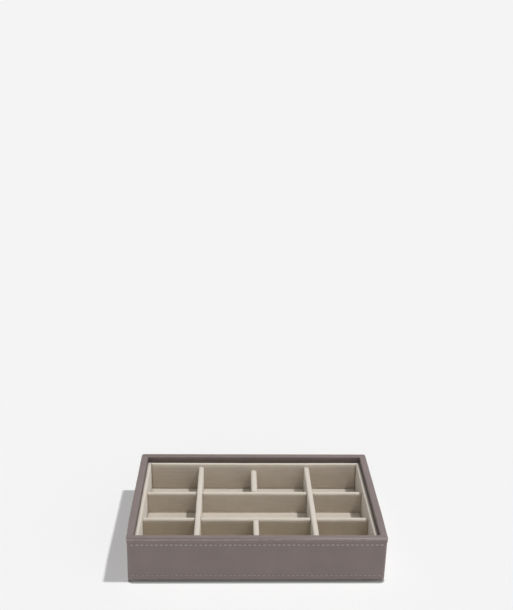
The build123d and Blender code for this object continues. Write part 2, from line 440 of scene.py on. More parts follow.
def finished(piece):
    """The piece with its modifiers applied, so that its mesh is plain."""
    graph = bpy.context.evaluated_depsgraph_get()
    made = bpy.data.meshes.new_from_object(piece.evaluated_get(graph), depsgraph=graph)
    piece.modifiers.clear()
    old = piece.data
    piece.data = made
    made.name = old.name
    bpy.data.meshes.remove(old)
    return piece


def thicken(piece, thickness):
    """Gives an open skin its thickness, inwards from the faces that show."""
    solidify = piece.modifiers.new("thickness", "SOLIDIFY")
    solidify.thickness = thickness
    solidify.offset = -1.0
    solidify.use_even_offset = True
    return finished(piece)


def grid_faces(rows, columns, keep=None):
    """Quads of a grid of points, row by row, with some cells left out."""
    faces = []
    for row in range(rows - 1):
        for column in range(columns - 1):
            if keep is None or keep(row, column):
                corner = row * columns + column
                faces.append((corner, corner + 1, corner + columns + 1, corner + columns))
    return faces


def dropped_loose(points, faces):
    """The points that faces use, and the faces numbered to match."""
    used = sorted({corner for face in faces for corner in face})
    place = {old: new for new, old in enumerate(used)}
    return [points[old] for old in used], [tuple(place[corner] for corner in face) for face in faces]


def arc(centre, radius, start, end, steps):
    """Points of an arc in a plane, from one angle to another, in degrees, ends included."""
    points = []
    for step in range(steps + 1):
        angle = math.radians(start + (end - start) * step / steps)
        points.append((centre[0] + radius * math.cos(angle), centre[1] + radius * math.sin(angle)))
    return points


def spread(start, end, count):
    """Evenly spaced numbers, ends included."""
    return [start + (end - start) * step / (count - 1) for step in range(count)]


def stations(start, end, step, exact=()):
    """Places along a length about a step apart, with some exact ones among them."""
    marks = sorted({start, end, *exact})
    places = [start]
    for low, high in zip(marks, marks[1:]):
        count = max(1, round((high - low) / step))
        places += [low + (high - low) * number / count for number in range(1, count + 1)]
    return places


def eased(value, low, high):
    """From 0 to 1 between two values, flat at both ends."""
    share = min(1.0, max(0.0, (value - low) / (high - low)))
    return share * share * (3 - 2 * share)


def hump(value, reach):
    """One where a value is nought, falling away to both sides over a reach."""
    return math.exp(-((value / reach) ** 2))


def drift(point, size, seed):
    """A smooth shift, from minus one to one each way, that wanders over a given size."""
    return noise.noise_vector(Vector(point) / size + Vector((seed, 2.7 * seed, -1.3 * seed)))


def mark(piece, name, values):
    """A number for each point, which a finish can read."""
    attribute = piece.data.attributes.new(name, "FLOAT", "POINT")
    attribute.data.foreach_set("value", np.array(values, np.float32))


# The leatherette cover round the walls

needle_hole = stitch_length / 2 - 0.1 * MM
corner_steps = 9
sides = (
    # the side's outward direction, the way round, half its length and half the span across the tray
    ((0, -1), (1, 0), half_width, half_depth),
    ((1, 0), (0, 1), half_depth, half_width),
    ((0, 1), (-1, 0), half_width, half_depth),
    ((-1, 0), (0, -1), half_depth, half_width),
)

# Rows of the cover's section, in millimetres: insets along the rim, close together where the front steps
# down, insets and heights round the foot of the band below the rim, and heights beside a row of stitches
rim_row_insets = (2.2, 1.2, 0.8, 0.54, 0.49, 0.46, 0.43, 0.39, 0.3, 0.16, 0.03)
band_foot_rows = ((-0.33, 0.16), (-0.2, 0.03), (-0.1, 0.0), (-0.02, -0.06))
seam_row_offsets = (0.8, 0.42, 0.2, 0.0, -0.2, -0.42, -0.8, -1.5)
seam_rows_end = 1.5 * MM
band_taper = 0.2 * MM

# How the sewing draws the cover in: a channel along the row, a dimple at each needle hole, and the thread
channel_depth, channel_reach = 0.07 * MM, 0.8 * MM
hole_depth, hole_reach = 0.38 * MM, 0.3 * MM
thread_press, thread_reach = 0.10 * MM, 0.3 * MM

# How far the rim's sides stray towards the back, the left one from a little inwards in front, and how
# far the right wall leans. All of it happens near the sides, and in the outer part of the rim.
left_pinch, left_bow, right_bow, right_lean = 0.25 * MM, 0.6 * MM, 0.35 * MM, 0.3 * MM
stray_start, stray_full = half_width - 24 * MM, half_width - 2 * MM
bow_length = 32 * MM
bow_inset, lean_inset = 2.5 * MM, 2.0 * MM

# The front rim's outer edge: a step with a rounded shoulder on the left, a bevel on the right
step_inset, step_end, step_height = 0.4 * MM, 0.52 * MM, 0.53 * MM
step_slope, step_edge_drop = 0.75, 0.85 * MM
shoulder_width, shoulder_drop = 0.43 * MM, 0.32 * MM
bevel_inset, bevel_end, bevel_slope, bevel_ridge = 0.35 * MM, 0.8 * MM, 0.38, 0.05 * MM
bevel_edge_inset, bevel_edge_drop, bevel_edge_slope = -0.3 * MM, 0.2 * MM, 3.4
front_bulge = 0.4 * MM

# Folds of the cover: at the mitres, with a reach in degrees, along the rim's outer edge and below the
# rim, and the cover's own unevenness
mitre_fold, mitre_reach = 0.16 * MM, 14
rim_dip, rim_dip_inset, rim_dip_reach = 0.12 * MM, 0.12 * MM, 0.22 * MM
band_dip, band_dip_drop, band_dip_reach = 0.16 * MM, 1.7 * MM, 0.45 * MM
cover_drift, cover_drift_size = 0.03 * MM, 14 * MM

# The joint at the back: a gap between two soft ridges
ridge_height, ridge_place, ridge_reach = 0.05 * MM, 0.55 * MM, 0.4 * MM
lip_depth, lip_reach = 0.10 * MM, 0.22 * MM


def stitch_places(side):
    """Middles of the stitches along a side of a given length."""
    run = side - 2 * (corner_radius + seam_end_margin) - stitch_length
    gaps = round(run / (stitch_length + stitch_gap))
    return [run * (number / gaps - 0.5) for number in range(gaps + 1)]


def side_columns(number, start, end):
    """Columns of the cover along a part of a side: where they stand, and how far from a stitch."""
    side = sides[number]
    places = stitch_places(2 * side[2])
    halfway = (places[1] - places[0]) / 2
    part_way = 0.55 * needle_hole
    columns = []
    for middle in places:
        for off in (-needle_hole, -part_way, 0.0, part_way, needle_hole, halfway):
            if start < middle + off < end:
                columns.append((*side, middle + off, 0.0, off))
    columns += [(*side, place, 0.0, halfway) for place in (start, end)]
    return sorted(columns, key=lambda column: column[4])


def cover_columns():
    """All columns once round, from one edge of the back seam to the other."""
    columns = []
    edges = [side[2] - corner_radius for side in sides]
    seam = back_seam_gap / 2
    for number, start, end in (
        (2, seam, edges[2]),
        (3, -edges[3], edges[3]),
        (0, -edges[0], edges[0]),
        (1, -edges[1], edges[1]),
        (2, -edges[2], -seam),
    ):
        columns += side_columns(number, start, end)
        if end > 0:
            for step in range(1, corner_steps):
                columns.append((*sides[number], end, math.pi / 2 * step / corner_steps, None))
    return columns


def section_arc(inset, height, radius, start, end, count, kind):
    """Rows of the section along an arc, which faces outwards from its centre."""
    rows = []
    for angle in spread(start, end, count):
        across, up = math.cos(math.radians(angle)), math.sin(math.radians(angle))
        rows.append((inset + radius * across, height + radius * up, across, up, kind))
    return rows


def cover_rows():
    """Rows of the cover's section: inset, height, inset and height of the outward direction, and kind."""
    inner_start = rim_top - turn_in_depth
    inner_edge = rim_top - rim_inner_round
    heights = spread(inner_start, inner_edge, 5)[:-1]
    rows = [(wall_top_width, height, 1.0, 0.0, "inner") for height in heights]
    rows += section_arc(wall_top_width - rim_inner_round, inner_edge, rim_inner_round, 0, 90, 5, "rim")
    rows += [(inset * MM, rim_top, 0.0, 1.0, "rim") for inset in rim_row_insets]
    rows += section_arc(bead_round - rim_strip, rim_top - bead_round, bead_round, 95, 180, 9, "edge")
    for height in spread(rim_top - bead_round, band_bottom + 0.4 * MM, 9)[1:]:
        tuck = band_taper * eased(band_bottom + 2.4 * MM - height, 0.0, 2.0 * MM)
        rows.append((tuck - rim_strip, height, -1.0, 0.0, "band"))
    for inset, height in band_foot_rows:
        rows.append((inset * MM, band_bottom + height * MM, -0.6, -0.8, "under"))
    heights = [level + off * MM for level in seam_levels for off in seam_row_offsets]
    heights += spread(seam_levels[0] - seam_rows_end, seam_levels[1] + seam_rows_end, 7)[1:]
    rows += [(0.0, height, -1.0, 0.0, "face") for height in sorted(heights, reverse=True)]
    hem_low = body_bottom - hem_drop
    rows += section_arc(hem_round, hem_low + hem_round, hem_round, 180, 270, 6, "hem")
    rows += [(inset, hem_low, 0.0, -1.0, "under") for inset in ((hem_round + hem_inset) / 2, hem_inset)]
    rows.append((hem_inset, body_bottom + leather, 0.0, 0.0, "back"))
    hem_back = board_hem_round - leather
    rows += section_arc(board_hem_round, body_bottom + board_hem_round, hem_back, 270, 180, 3, "back")
    strip_face = leather - rim_strip
    for inset, height in (
        (leather, strip_low.z),
        (strip_face + strip_edge_round, strip_low.z),
        (strip_face, strip_low.z + strip_edge_round),
    ):
        rows.append((inset, height, 0.0, 0.0, "back"))
    strip_inset = rim_outer_round - rim_strip
    strip_back = rim_outer_round - leather
    rows += section_arc(strip_inset, rim_top - rim_outer_round, strip_back, 180, 90, 3, "back")
    inner_back = wall_top_width - leather
    rows += [(inner_back, height, 0.0, 0.0, "back") for height in (rim_top - leather, inner_start)]
    return rows


def pucker(height, off):
    """How far the sewing draws the cover in at a height, at a distance from the middle of a stitch."""
    depth = 0.0
    for level in seam_levels:
        away = height - level
        channel = channel_depth * hump(away, channel_reach)
        if off is None:
            depth += 0.5 * channel
            continue
        hole = hole_depth * hump(math.hypot(abs(off) - needle_hole, away), hole_reach)
        under = thread_press * hump(away, thread_reach) if abs(off) < needle_hole else 0.0
        depth += channel + max(hole, under)
    return depth


def out_of_true(point, inset):
    """How far the hand-made cover strays: its sides bow, and its right wall leans out a little."""
    on_right = point.x > 0
    beside = eased(abs(point.x), stray_start, stray_full)
    stray = 0.0
    if point.z > band_bottom - 0.2 * MM:
        behind = eased(point.y, -half_depth, -half_depth + bow_length)
        bow = right_bow * behind if on_right else left_pinch - left_bow * behind
        stray = (1.0 - eased(inset, 0.0, bow_inset)) * bow
    elif on_right and inset <= lean_inset:
        stray = right_lean * (1 - 2 * (band_bottom - point.z) / (band_bottom - body_bottom))
    return Vector((beside * stray, 0.0, 0.0))


def climb_at(x):
    """From 0 along the left of the front rim, where it is stepped, to 1 where it is bevelled."""
    return eased(x, -0.33 * half_width, 0.47 * half_width)


def front_profiles(inset, height, kind):
    """Heights of the front rim's outer edge: on the left it steps down, on the right it is bevelled."""
    riser = 1 - eased(inset, step_inset, step_end)
    rise = 1 - eased(inset, bevel_inset, bevel_end)
    bevelled = rim_top + bevel_ridge * rise - bevel_slope * max(0.0, bevel_inset - inset)
    if kind == "rim":
        # A rounded shoulder, which stays clear of the strip below
        turn = min(1.0, max(0.0, (step_inset - inset) / shoulder_width))
        return rim_top - step_height * riser - shoulder_drop * (1 - math.sqrt(1 - turn * turn)), bevelled
    stepped = rim_top - step_height * riser - step_slope * max(0.0, step_inset - inset)
    corner = rim_top - bevel_edge_drop - bevel_edge_slope * max(0.0, bevel_edge_inset - inset)
    return min(stepped, height - step_edge_drop), min(bevelled, corner)


def cover_point(column, row):
    """Where a row of the section stands at a column, and how much of an edge it is: rubbed wear, and along
    the front rim's outer edge also painted highlight.
    """
    outward, onward, half_side, half_span, along, sweep, off = column
    inset, height, in_part, up_part, kind = row
    on_rim = height > band_bottom - 0.1 * MM and kind != "back"
    outer_radius = rim_corner_radius if on_rim else corner_radius
    # Outside the walls' line, where the inset is below nought, the corner grows by less
    radius = max(outer_radius - max(inset, 0.3 * inset), inner_corner_radius)
    reach = half_side - inset - radius
    share = along / (half_side - corner_radius)
    side = Vector(outward) * math.cos(sweep) + Vector(onward) * math.sin(sweep)
    flat = Vector(outward) * (half_span - inset - radius) + Vector(onward) * reach * share + side * radius
    point = Vector((flat.x, flat.y, height))
    normal = Vector((-in_part * side.x, -in_part * side.y, up_part))
    if kind == "back":
        return point, 0.0
    edge = {"edge": 0.6, "hem": 0.4}.get(kind, 0.0)
    upright = math.sin(2 * sweep)
    in_front = eased(-side.y, 0.2, 0.9)
    climb = climb_at(point.x)
    if kind == "face":
        edge = 0.8 * upright
        point -= normal * pucker(height, off)
    if kind in ("rim", "inner") and upright > 0:
        point -= normal * mitre_fold * hump(math.degrees(sweep) - 45, mitre_reach)
    if kind == "rim":
        point -= normal * rim_dip * (1 - in_front) * hump(inset - rim_dip_inset, rim_dip_reach)
    if kind in ("rim", "edge") and inset < 1.0 * MM:
        # The front rim's outer edge gets a larger edge mark, as painted highlight
        edge += 0.4 * in_front if kind == "edge" else 0.0
        stepped, bevelled = front_profiles(inset, height, kind)
        point.z += (stepped + (bevelled - stepped) * climb - height) * in_front
    if kind == "band":
        # In front the band's rows follow the lowered edge above them
        lowered = (0.85 - 0.26 * climb) * in_front * MM
        point.z -= lowered * eased(height, rim_top - 2.3 * MM, rim_top - bead_round)
        point -= normal * band_dip * hump(height - rim_top + band_dip_drop, band_dip_reach)
    if kind in ("rim", "inner") and inset > 3.0 * MM:
        bulge = front_bulge * in_front * eased(height, lining_high.z + 0.4 * MM, rim_top - 1.2 * MM)
        point += Vector((-side.x, -side.y, 0.0)) * bulge
    if kind != "under":
        point += normal * cover_drift * drift(point, cover_drift_size, 3.0).x
    point += out_of_true(point, inset)
    at_back = flat.y > 0 and sweep == 0.0 and abs(outward[1]) == 1
    seam_reach = abs(flat.x) if at_back else 1.0
    ridge = hump(seam_reach - ridge_place, ridge_reach)
    lip = hump(seam_reach, lip_reach)
    if kind in ("rim", "inner"):
        # The joint closes up where it is pressed over the rim
        point.x *= 1 - 0.8 * lip
        ridge, lip = 0.3 * ridge, 0.2 * lip
    point += normal * (ridge_height * ridge - lip_depth * lip)
    return point, min(1.0, edge + 0.3 * ridge)


def cover_tones(column, row):
    """How much painted shade a place gets, inside the rim, on the back of the rim and in the step's crease,
    and how much painted highlight lies along the front rim's outer edge.
    """
    outward, onward, half_side, half_span, along, sweep, off = column
    inset, height, in_part, up_part, kind = row
    side = Vector(outward) * math.cos(sweep) + Vector(onward) * math.sin(sweep)
    across = (Vector(outward) * half_span + Vector(onward) * along).x
    painted_shade, painted_highlight = 0.0, 0.0
    # Painted shade on the cover turned in below the rim and over its inner edge, less on the left side's
    # inner wall
    if kind == "inner" or in_part > 0:
        painted_shade = eased(rim_top - height, 0.3 * MM, 1.6 * MM) * (1 - 0.45 * eased(-side.x, 0.3, 0.95))
    # Painted shade on the back of the rim, darker towards the left
    if kind == "rim" and inset < 3.5 * MM:
        painted_shade = eased(side.y, 0.5, 0.9) * (0.4 - 0.3 * eased(across, -80 * MM, 20 * MM))
    if kind in ("rim", "edge") and inset < 0.6 * MM and side.y < 0.5:
        in_front = eased(-side.y, 0.2, 0.9)
        # Painted shade in the front step's crease, where the rim is stepped on the left
        crease = eased(inset, 0.16 * MM, 0.36 * MM) * (1 - eased(inset, 0.47 * MM, 0.56 * MM))
        painted_shade = 0.4 * crease * in_front * (1 - climb_at(across))
        # Painted highlight: a lighter line along the front rim's outer edge, on its right part
        line = eased(inset, -0.36 * MM, -0.26 * MM) * (1 - eased(inset, 0.34 * MM, 0.48 * MM))
        painted_highlight = 0.75 * line * in_front * eased(across, 0.3 * half_width, 0.56 * half_width)
    return painted_shade, painted_highlight


def make_outer_cover():
    """The stitched leatherette strip, a closed skin from one edge of the back seam to the other."""
    columns = cover_columns()
    rows = cover_rows()
    placed = [cover_point(column, row) for row in rows for column in columns]
    tones = [cover_tones(column, row) for row in rows for column in columns]
    count = len(columns)
    faces = []
    for row in range(len(rows)):
        here, above = row * count, (row + 1) % len(rows) * count
        for column in range(count - 1):
            faces.append((here + column, above + column, above + column + 1, here + column + 1))
    faces.append([row * count for row in range(len(rows) - 1, -1, -1)])
    faces.append([row * count + count - 1 for row in range(len(rows))])
    cover = new_piece("outer_cover", [point for point, edge in placed], faces, leatherette)
    mark(cover, "edge", [edge for point, edge in placed])
    mark(cover, "painted_shade", [painted_shade for painted_shade, painted_highlight in tones])
    mark(cover, "painted_highlight", [painted_highlight for painted_shade, painted_highlight in tones])
    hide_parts("outer_wrap")
    return cover


# The foot and its felt


def ring(half_x, half_y, radius, height, steps=8):
    """A level rounded rectangle, anticlockwise from the right."""
    points = []
    for corner, (sign_x, sign_y) in enumerate(((1, 1), (-1, 1), (-1, -1), (1, -1))):
        centre = (sign_x * (half_x - radius), sign_y * (half_y - radius))
        for x, y in arc(centre, radius, 90 * corner, 90 * corner + 90, steps):
            points.append((x, y, height))
    return points


def lofted(name, rings, finish):
    """A closed solid through level rings with as many points each, with flat ends."""
    count = len(rings[0])
    points = [point for level in rings for point in level]
    faces = []
    for level in range(len(rings) - 1):
        low, high = level * count, (level + 1) * count
        for number in range(count):
            onward = (number + 1) % count
            faces.append((low + number, low + onward, high + onward, high + number))
    faces.append(list(range(count - 1, -1, -1)))
    faces.append([(len(rings) - 1) * count + number for number in range(count)])
    return new_piece(name, points, faces, finish)


def make_foot_cover():
    """Leatherette drawn over the foot board: a shallow tray-shaped skin, open at the top."""
    low, high = foot_low.z, foot_high.z
    centre = (foot_edge_round, foot_edge_round)
    levels = [(inset, low + lift) for inset, lift in arc(centre, foot_edge_round, 270, 180, 6)]
    levels += [(0.0, high), (leather, high)]
    levels += [(inset, low + lift) for inset, lift in arc(centre, foot_edge_round - leather, 180, 270, 3)]
    rings = []
    for inset, height in levels:
        rings.append(ring(foot_high.x - inset, foot_high.y - inset, foot_corner_radius - inset, height))
    cover = lofted("foot_cover", rings, leatherette)
    edge_top = low + foot_edge_round
    mark(cover, "edge", [1.0 if point.co.z < edge_top else 0.0 for point in cover.data.vertices])
    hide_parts("foot_wrap")
    return cover


def make_felt():
    """The felt sheet below the foot, its cut edge a little soft."""
    low, high = felt_low.z, felt_high.z
    soft = 0.18 * MM
    levels = []
    for inset, height in ((soft, low), (0.0, low + soft), (0.0, high - soft), (soft, high)):
        levels.append(ring(felt_high.x - inset, felt_high.y - inset, felt_corner_radius, height, 12))
    felt = lofted("felt_sheet", levels, felt_cloth)
    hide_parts("base_felt")
    return felt


# Velvet over boards that stand on edge

crest_height = 1.3 * MM
ripple_size = 2.2 * MM


def mark_crest(piece, top, level, reach=crest_height):
    """Painted highlight: the cloth's colour is lightened towards a folded top edge, over a reach below it.
    """
    low, high = top - reach, top - 0.4 * MM
    mark(piece, "edge", [level * eased(point.co.z, low, high) for point in piece.data.vertices])


def wander(point, size, seed, aside, up, ripple):
    """How far pile on glue strays sideways and upwards: slowly over a size, and in small ripples."""
    slow = drift(point, size, seed)
    quick = drift(point, ripple_size, seed + 5.0)
    return aside * slow.y + ripple * quick.y, up * slow.z + ripple * quick.z


def folded_section(half_thickness, bottom, top, edge_round, lap=None):
    """Across and up of a skin folded over a board: up one side, over the top and down the other."""
    shoulder = top - edge_round
    if lap is None:
        rise = spread(bottom, shoulder, 9)
    else:
        rise = spread(bottom, lap, 5) + spread(lap, shoulder, 5)[1:]
    over = arc((-half_thickness + edge_round, shoulder), edge_round, 180, 90, 5)[1:]
    half = [(-half_thickness, height) for height in rise] + over
    crown = [(0.0, top)] if half_thickness - edge_round > 0.05 * MM else []
    return half + crown + [(-across, height) for across, height in reversed(half)]


def folded_skin(name, places, section, skipped, seed):
    """Velvet over a board along X, with its slots left out and the slight unevenness of pile on glue."""
    points = []
    bottom = min(height for across, height in section)
    top = max(height for across, height in section)
    for across, height in section:
        free = (height - bottom) / (top - bottom)
        for place in places:
            point = Vector((place, across, height))
            aside, up = wander(point, 9 * MM, seed, 0.09 * MM, 0.10 * MM, 0.04 * MM)
            point.y += aside * (0.4 + 0.6 * free)
            point.z += up * free**3
            points.append(point)

    def keep(row, column):
        middle = (places[column] + places[column + 1]) / 2
        height = (section[row][1] + section[row + 1][1]) / 2
        return not any(
            abs(middle - slot) < half and low < height < high for slot, half, low, high in skipped
        )

    points, faces = dropped_loose(points, grid_faces(len(section), len(places), keep))
    return new_piece(name, points, faces, velvet_cloth)


def dress_divider(
    name, half_length, top, lap_places, from_above, place, turn, seed, raised=0.0, loose=0.0, pressed=0.0
):
    """The velvet cover of one divider, which may stand higher or lie loose, with painted shade below its
    top when pressed is given.
    """
    top += raised
    half_slot = divider_thickness / 2 + lap_fit
    low, high = (lap_level, rim_top) if from_above else (0.0, lap_level)
    skipped = [(slot, half_slot, low, high) for slot in lap_places]
    exact = [slot + side * half_slot for slot in lap_places for side in (-1, 1)]
    places = stations(-half_length, half_length, 1.3 * MM, exact)
    lap = lap_level if lap_places else None
    edge_round = divider_top_round + 1.3 * loose
    section = folded_section(divider_thickness / 2 + loose, floor_top, top, edge_round, lap)
    cover = folded_skin(f"{name}_cover", places, section, skipped, seed)
    cover.data.transform(Matrix.Translation((*place, 0.0)) @ Matrix.Rotation(math.radians(turn), 4, "Z"))
    # Painted highlight along the folded top edge
    mark_crest(cover, top, 0.4)
    # Painted shade: the cover is darkened below its top, carried by the mark named pressed
    if pressed:
        low, high = top - 3 * MM, top - 1 * MM
        levels = [pressed * (1 - eased(point.co.z, low, high)) for point in cover.data.vertices]
        mark(cover, "pressed", levels)
    thicken(cover, velvet)
    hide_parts(f"{name}_velvet")
    return cover


def make_divider_covers():
    """Velvet of the six dividers."""
    laps_on_long = (-cross_divider_y, cross_divider_y)
    laps_on_cross = (-long_divider_x, long_divider_x)
    short_y = (short_high.y + short_low.y) / 2
    half_short = (short_high.y - short_low.y) / 2
    return [
        dress_divider("left_long_divider", long_high.y, long_high.z, laps_on_long, False,
                      (-long_divider_x, 0.0), 90, 11.0),
        dress_divider("right_long_divider", long_high.y, long_high.z, laps_on_long, False,
                      (long_divider_x, 0.0), 90, 12.0),
        dress_divider("rear_cross_divider", cross_high.x, cross_high.z, laps_on_cross, True,
                      (0.0, cross_divider_y), 0, 13.0, raised=-0.2 * MM),
        # The front cross divider gets painted shade on its sides
        dress_divider("front_cross_divider", cross_high.x, cross_high.z, laps_on_cross, True,
                      (0.0, -cross_divider_y), 0, 14.0, pressed=0.22),
        dress_divider("rear_short_divider", half_short, short_high.z, (), False,
                      (-0.2 * MM, short_y), 90, 15.0, raised=-0.42 * MM, loose=0.3 * MM),
        dress_divider("front_short_divider", half_short, short_high.z, (), False,
                      (0.0, -short_y), 90, 16.0, raised=0.4 * MM),
    ]


def dress_lining(side, half_length, half_span, turn, seed, sag, crest, crest_reach=crest_height):
    """The velvet cover of one lining card, mitred at its ends, with its top edge sagging in the middle."""
    half = lining_thickness / 2
    section = folded_section(half, lining_low.z, lining_high.z, lining_top_round)
    mitre_gap = 0.06 * MM
    shares = [place / half_length for place in stations(-half_length, half_length, 1.5 * MM)]
    points = []
    for across, height in section:
        reach = half_length - (across + half) - mitre_gap
        free = (height - lining_low.z) / (lining_high.z - lining_low.z)
        for share in shares:
            point = Vector((share * reach, across, height))
            aside, up = wander(point, 11 * MM, seed, 0.07 * MM, 0.08 * MM, 0.03 * MM)
            point.y += aside
            point.z += (up - sag * (1 - 0.4 * share**2)) * free**3
            points.append(point)
    faces = grid_faces(len(section), len(shares))
    cover = new_piece(f"{side}_lining_cover", points, faces, velvet_cloth)
    against_wall = Matrix.Translation((0.0, half - half_span, 0.0))
    cover.data.transform(Matrix.Rotation(math.radians(turn), 4, "Z") @ against_wall)
    # Painted highlight along the top edge, over a given reach
    mark_crest(cover, lining_high.z, crest, crest_reach)
    thicken(cover, velvet)
    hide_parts(f"{side}_lining_velvet")
    return cover


def make_lining_covers():
    """Velvet of the four lining cards."""
    half_x, half_y = half_width - wall_top_width, half_depth - wall_top_width
    # Painted highlight along each top edge; on the left lining, which faces the lamp, over most of its
    # height
    return [
        dress_lining("front", half_x, half_y, 0, 21.0, sag=0.2 * MM, crest=0.5),
        dress_lining("right", half_y, half_x, 90, 22.0, sag=0.1 * MM, crest=0.4),
        dress_lining("back", half_x, half_y, 180, 23.0, sag=0.42 * MM, crest=1.1, crest_reach=5 * MM),
        dress_lining("left", half_y, half_x, 270, 24.0, sag=0.15 * MM, crest=0.65, crest_reach=24 * MM),
    ]


# The floor pad

pad_step = 1.6 * MM
pad_crown, crown_reach = 0.16 * MM, 5 * MM
pad_press, press_reach = 0.12 * MM, 0.7 * MM
pad_drift, pad_drift_size = 0.04 * MM, 7 * MM


def pad_height(x, y):
    """How far the pad stands above or below its level: full inside a compartment, pressed at its sides."""
    half_divider = divider_thickness / 2
    walls = [
        floor_high.x - abs(x),
        floor_high.y - abs(y),
        abs(abs(x) - long_divider_x) - half_divider,
        abs(abs(y) - cross_divider_y) - half_divider,
    ]
    if abs(y) > cross_divider_y:
        walls.append(abs(x) - half_divider)
    near = max(0.0, min(walls))
    crown = pad_crown * (1 - math.exp(-near / crown_reach))
    pressed = pad_press * math.exp(-near / press_reach)
    return crown - pressed + pad_drift * drift((x, y, 0.0), pad_drift_size, 31.0).z


def pad_layer(name, high, thickness, finish, rounding):
    """A level layer of the floor pad, with soft edges."""
    reach_x, reach_y = floor_high.x, floor_high.y
    across = stations(-reach_x, reach_x, pad_step)
    along = stations(-reach_y, reach_y, pad_step)
    points = []
    for y in along:
        for x in across:
            near = min(reach_x - abs(x), reach_y - abs(y))
            drop = rounding * math.exp(-near / rounding) if rounding else 0.0
            points.append((x, y, high + pad_height(x, y) - drop))
    layer = new_piece(name, points, grid_faces(len(along), len(across)), finish)
    return thicken(layer, thickness)


def make_floor_pad():
    """Velvet glued on a thin foam pad."""
    velvet_layer = pad_layer("floor_cover", floor_top, velvet, velvet_cloth, 0.2 * MM)
    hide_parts("floor_velvet")
    foam_layer = pad_layer("floor_pad_foam", foam_high.z, foam_high.z - foam_low.z, pad_foam, 0.0)
    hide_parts("floor_foam")
    return [velvet_layer, foam_layer]


# The stitching

thread_twist = 3.2 * math.pi
thread_flatness = 0.74
thread_sink = 0.3 * MM
thread_uneven = math.radians(2.2)


def make_stitch_tree():
    """Lays a row of twisted thread stitches along each point's own direction."""
    tree = bpy.data.node_groups.new("stitch_row", "GeometryNodeTree")
    kinds = {"Geometry": "Geometry", "Seed": "Int", "Finish": "Material"}
    for name in ("Geometry", "Length", "Width", "Proud", "Sink", "Uneven", "Seed", "Finish"):
        kind = f"NodeSocket{kinds.get(name, 'Float')}"
        tree.interface.new_socket(name=name, in_out="INPUT", socket_type=kind)
    tree.interface.new_socket(name="Geometry", in_out="OUTPUT", socket_type="NodeSocketGeometry")
    given = tree.nodes.new("NodeGroupInput").outputs
    result = tree.nodes.new("NodeGroupOutput").inputs

    # One stitch: a bent path with a flattened round section that turns along it
    half = times(tree, given["Length"], 0.5)
    twice_proud = times(tree, given["Proud"], 2.0)
    lift = math_node(tree, "MULTIPLY_ADD", given["Sink"], 1.0, twice_proud)
    start = add(tree, "ShaderNodeCombineXYZ", {0: times(tree, half, -1.0), 1: given["Sink"]})
    middle = add(tree, "ShaderNodeCombineXYZ", {1: times(tree, lift, -1.0)})
    end = add(tree, "ShaderNodeCombineXYZ", {0: half, 1: given["Sink"]})
    path = add(
        tree,
        "GeometryNodeCurveQuadraticBezier",
        {"Resolution": 7, "Start": start.outputs[0], "Middle": middle.outputs[0], "End": end.outputs[0]},
    )
    along = add(tree, "GeometryNodeSplineParameter").outputs["Factor"]
    twist = times(tree, along, thread_twist)
    tilted = add(tree, "GeometryNodeSetCurveTilt", {"Curve": path.outputs[0], "Tilt": twist})
    section = add(tree, "GeometryNodeCurvePrimitiveCircle", {"Resolution": 6})
    tree.links.new(times(tree, given["Width"], 0.5), section.inputs["Radius"])
    flattened = {"Geometry": section.outputs[0], "Scale": (1.0, thread_flatness, 1.0)}
    oval = add(tree, "GeometryNodeTransform", flattened)
    tube = add(
        tree,
        "GeometryNodeCurveToMesh",
        {"Curve": tilted.outputs[0], "Profile Curve": oval.outputs[0], "Fill Caps": True},
    )
    smooth = add(tree, "GeometryNodeSetShadeSmooth", {"Geometry": tube.outputs[0]})

    # The row: each stitch turned to its side of the tray, and a little unevenly
    heading = add(tree, "GeometryNodeInputNamedAttribute", {"Name": "turn"}, data_type="FLOAT")
    wobble = add(tree, "FunctionNodeRandomValue", {"Seed": given["Seed"]}, data_type="FLOAT")
    tree.links.new(times(tree, given["Uneven"], -1.0), wobble.inputs[2])
    tree.links.new(given["Uneven"], wobble.inputs[3])
    facing = add(tree, "ShaderNodeCombineXYZ", {1: wobble.outputs[1], 2: heading.outputs[0]})
    placed = add(
        tree,
        "GeometryNodeInstanceOnPoints",
        {"Points": given["Geometry"], "Instance": smooth.outputs[0], "Rotation": facing.outputs[0]},
    )
    real = add(tree, "GeometryNodeRealizeInstances", {"Geometry": placed.outputs[0]}).outputs[0]
    dressed = add(tree, "GeometryNodeSetMaterial", {"Geometry": real, "Material": given["Finish"]})
    tree.links.new(dressed.outputs[0], result["Geometry"])
    return tree


def make_stitching(name, node, level, proud, darker_thread, seed, tree):
    """A row of stitches round the tray at one level, which replaces one node."""
    points, turns = [], []
    for quarter, (outward, onward, half_side, half_span) in enumerate(sides):
        for place in stitch_places(2 * half_side):
            flat = Vector(outward) * half_span + Vector(onward) * place
            point = Vector((flat.x, flat.y, level))
            points.append(point + out_of_true(point, 0.0))
            turns.append(math.pi / 2 * quarter)
    row = new_piece(name, points, [], thread)
    mark(row, "turn", turns)
    mark(row, "darker_thread", [darker_thread] * len(points))
    sew = row.modifiers.new("sewing", "NODES")
    sew.node_group = tree
    values = {
        "Length": stitch_shown,
        "Width": thread_width,
        "Proud": proud,
        "Sink": thread_sink,
        "Uneven": thread_uneven,
        "Seed": seed,
        "Finish": thread,
    }
    for item in tree.interface.items_tree:
        if item.in_out == "INPUT" and item.name in values:
            sew[item.identifier] = values[item.name]
    finished(row)
    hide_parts(node)
    return row


# Hidden boards keep their solids


def dress_boards():
    """Raw board and card for the solids that the covers hide."""
    for name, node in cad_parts.items():
        finish = None
        if name.endswith(("_lining_card", "_rim_strip")):
            finish = greyboard
        elif name.endswith("_divider_board"):
            finish = divider_greyboard
        elif name.endswith("_board"):
            finish = fibreboard
        if finish:
            for held in node.material_slots:
                held.material = finish


# Floor, light and camera

